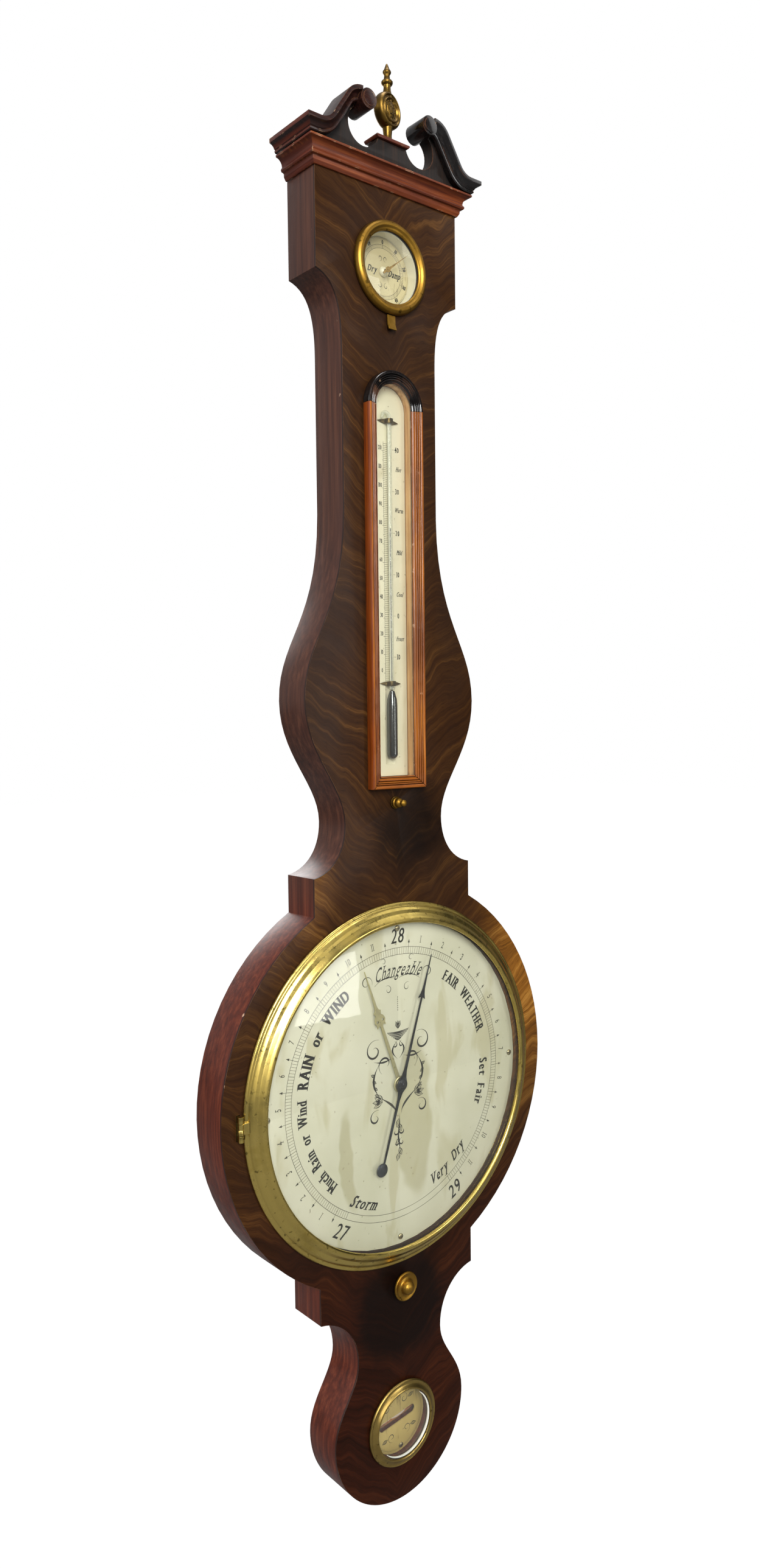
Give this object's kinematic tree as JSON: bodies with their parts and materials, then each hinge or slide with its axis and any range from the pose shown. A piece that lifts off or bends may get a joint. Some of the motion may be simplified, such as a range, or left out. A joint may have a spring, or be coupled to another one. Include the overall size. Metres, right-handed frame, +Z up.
{
  "type": "wall-hung wheel barometer",
  "caption": "Banjo-shaped mahogany wheel barometer with a swan-neck pediment, hygrometer, boxed thermometer, large hinged glass dial, set knob and spirit level, with its siphon tube movement.",
  "frame": {"origin": "a point on the flat back of the case that lies against the wall, on the centre line, 100 mm above the centre of the main dial", "axes": "+X right across the front as the reader sees it, +Y from the dial into the wall, +Z up"},
  "size_m": [0.32, 0.0518, 1.1082],
  "materials": {
    "mahogany": "french-polished mahogany veneer over deal",
    "cornice_wood": "polished solid mahogany moulding",
    "ebonised": "dark glossy moulding",
    "box_wood": "polished reeded moulding",
    "deal": "plain unpolished softwood",
    "aged_brass": "aged brass",
    "bezel_brass": "polished lacquered brass",
    "silvered": "silvered and engraved brass plate",
    "steel": "blued steel",
    "mercury": "bright mercury",
    "glass": "clear polished glass",
    "gut": "twisted gut cord",
    "straw": "dried oat awn"
  },
  "bodies": {
    "case": {"case_body": "mahogany", "cornice_moulding": "cornice_wood", "tympanum_board": "ebonised", "swan_neck_left": "ebonised", "swan_neck_right": "ebonised", "plinth_cap": "cornice_wood", "finial": "aged_brass", "trunk_back_cover": "deal", "door_pin_upper": "steel", "door_pin_lower": "steel", "hanging_plate": "aged_brass", "hanging_screw_left": "steel", "hanging_screw_right": "steel", "hygro_awn": "straw", "hygro_boss": "aged_brass", "box_knob_rose": "aged_brass", "dial_plate": "silvered", "dial_screw_top": "aged_brass", "dial_screw_right": "aged_brass", "dial_screw_bottom": "aged_brass", "dial_screw_left": "aged_brass", "bezel_hinge_lug": "bezel_brass", "arbor_cock": "bezel_brass", "set_cord": "gut", "siphon_tube": "glass", "mercury": "mercury", "level_bezel": "bezel_brass", "level_glass": "glass", "level_plate": "aged_brass", "level_vial": "glass"},
    "bezel_door": {"dial_bezel": "bezel_brass", "dial_glass": "glass"},
    "indicator": {"indicator_hand": "steel", "indicator_arbor": "steel", "thread_pulley": "bezel_brass"},
    "float": {"float_weight": "glass"},
    "counterweight": {"counterweight": "glass"},
    "set_key": {"set_spindle": "bezel_brass", "set_knob": "bezel_brass"},
    "set_hand": {"set_hand": "bezel_brass", "set_sleeve": "bezel_brass"},
    "hygro_head": {"hygro_bezel": "bezel_brass", "hygro_glass": "glass", "hygro_cup": "aged_brass", "hygro_dial": "silvered", "hygro_tab": "bezel_brass"},
    "hygro_pointer": {"hygro_pointer": "straw"},
    "thermo_box": {"thermo_carcass": "box_wood", "thermo_side_left": "box_wood", "thermo_side_right": "box_wood", "thermo_rail": "box_wood", "thermo_arch": "ebonised", "thermo_glass": "glass", "thermo_plate": "silvered", "thermo_stem": "glass", "thermo_bulb": "mercury", "thermo_strap_upper": "aged_brass", "thermo_strap_lower": "aged_brass"},
    "box_knob": {"box_knob": "bezel_brass"},
    "chamber_door": {"chamber_door": "deal"}
  },
  "joints": [
    {"name": "bezel_hinge", "type": "hinge", "parent": "case", "child": "bezel_door", "pos_m": [-0.1462, -0.0374, -0.1], "axis": [0, 0, -1], "range_deg": [0, 110]},
    {"name": "indicator_turn", "type": "hinge", "parent": "case", "child": "indicator", "pos_m": [0, -0.034, -0.1], "axis": [0, 1, 0], "range_deg": [-170, 134]},
    {"name": "float_rise", "type": "slide", "parent": "case", "child": "float", "axis": [0, 0, 1], "range_m": [-0.0125, 0.0158]},
    {"name": "counterweight_rise", "type": "slide", "parent": "case", "child": "counterweight", "axis": [0, 0, 1], "range_m": [-0.0158, 0.0125]},
    {"name": "set_key_turn", "type": "hinge", "parent": "case", "child": "set_key", "pos_m": [0, -0.034, -0.261], "axis": [0, 1, 0], "continuous": true},
    {"name": "set_hand_turn", "type": "hinge", "parent": "case", "child": "set_hand", "pos_m": [0, -0.034, -0.1], "axis": [0, 1, 0], "continuous": true},
    {"name": "hygro_adjust", "type": "hinge", "parent": "case", "child": "hygro_head", "pos_m": [0, -0.034, 0.522], "axis": [0, 1, 0], "range_deg": [-25, 25]},
    {"name": "hygro_pointer_turn", "type": "hinge", "parent": "case", "child": "hygro_pointer", "pos_m": [0, -0.034, 0.522], "axis": [0, 1, 0], "range_deg": [-120, 90]},
    {"name": "thermo_box_draw", "type": "slide", "parent": "case", "child": "thermo_box", "axis": [0, -1, 0], "range_m": [0, 0.012]},
    {"name": "box_knob_turn", "type": "hinge", "parent": "case", "child": "box_knob", "pos_m": [0, -0.034, 0.1205], "axis": [0, 1, 0], "range_deg": [-90, 90]},
    {"name": "chamber_door_hinge", "type": "hinge", "parent": "case", "child": "chamber_door", "pos_m": [-0.0473, -0.0015, -0.156], "axis": [0, 0, 1], "range_deg": [0, 95]}
  ],
  "couplings": [
    {"joint": "float_rise", "follows": "indicator_turn", "m_per_rad": -0.00517},
    {"joint": "counterweight_rise", "follows": "indicator_turn", "m_per_rad": 0.00517},
    {"joint": "set_hand_turn", "follows": "set_key_turn", "ratio": 1}
  ]
}
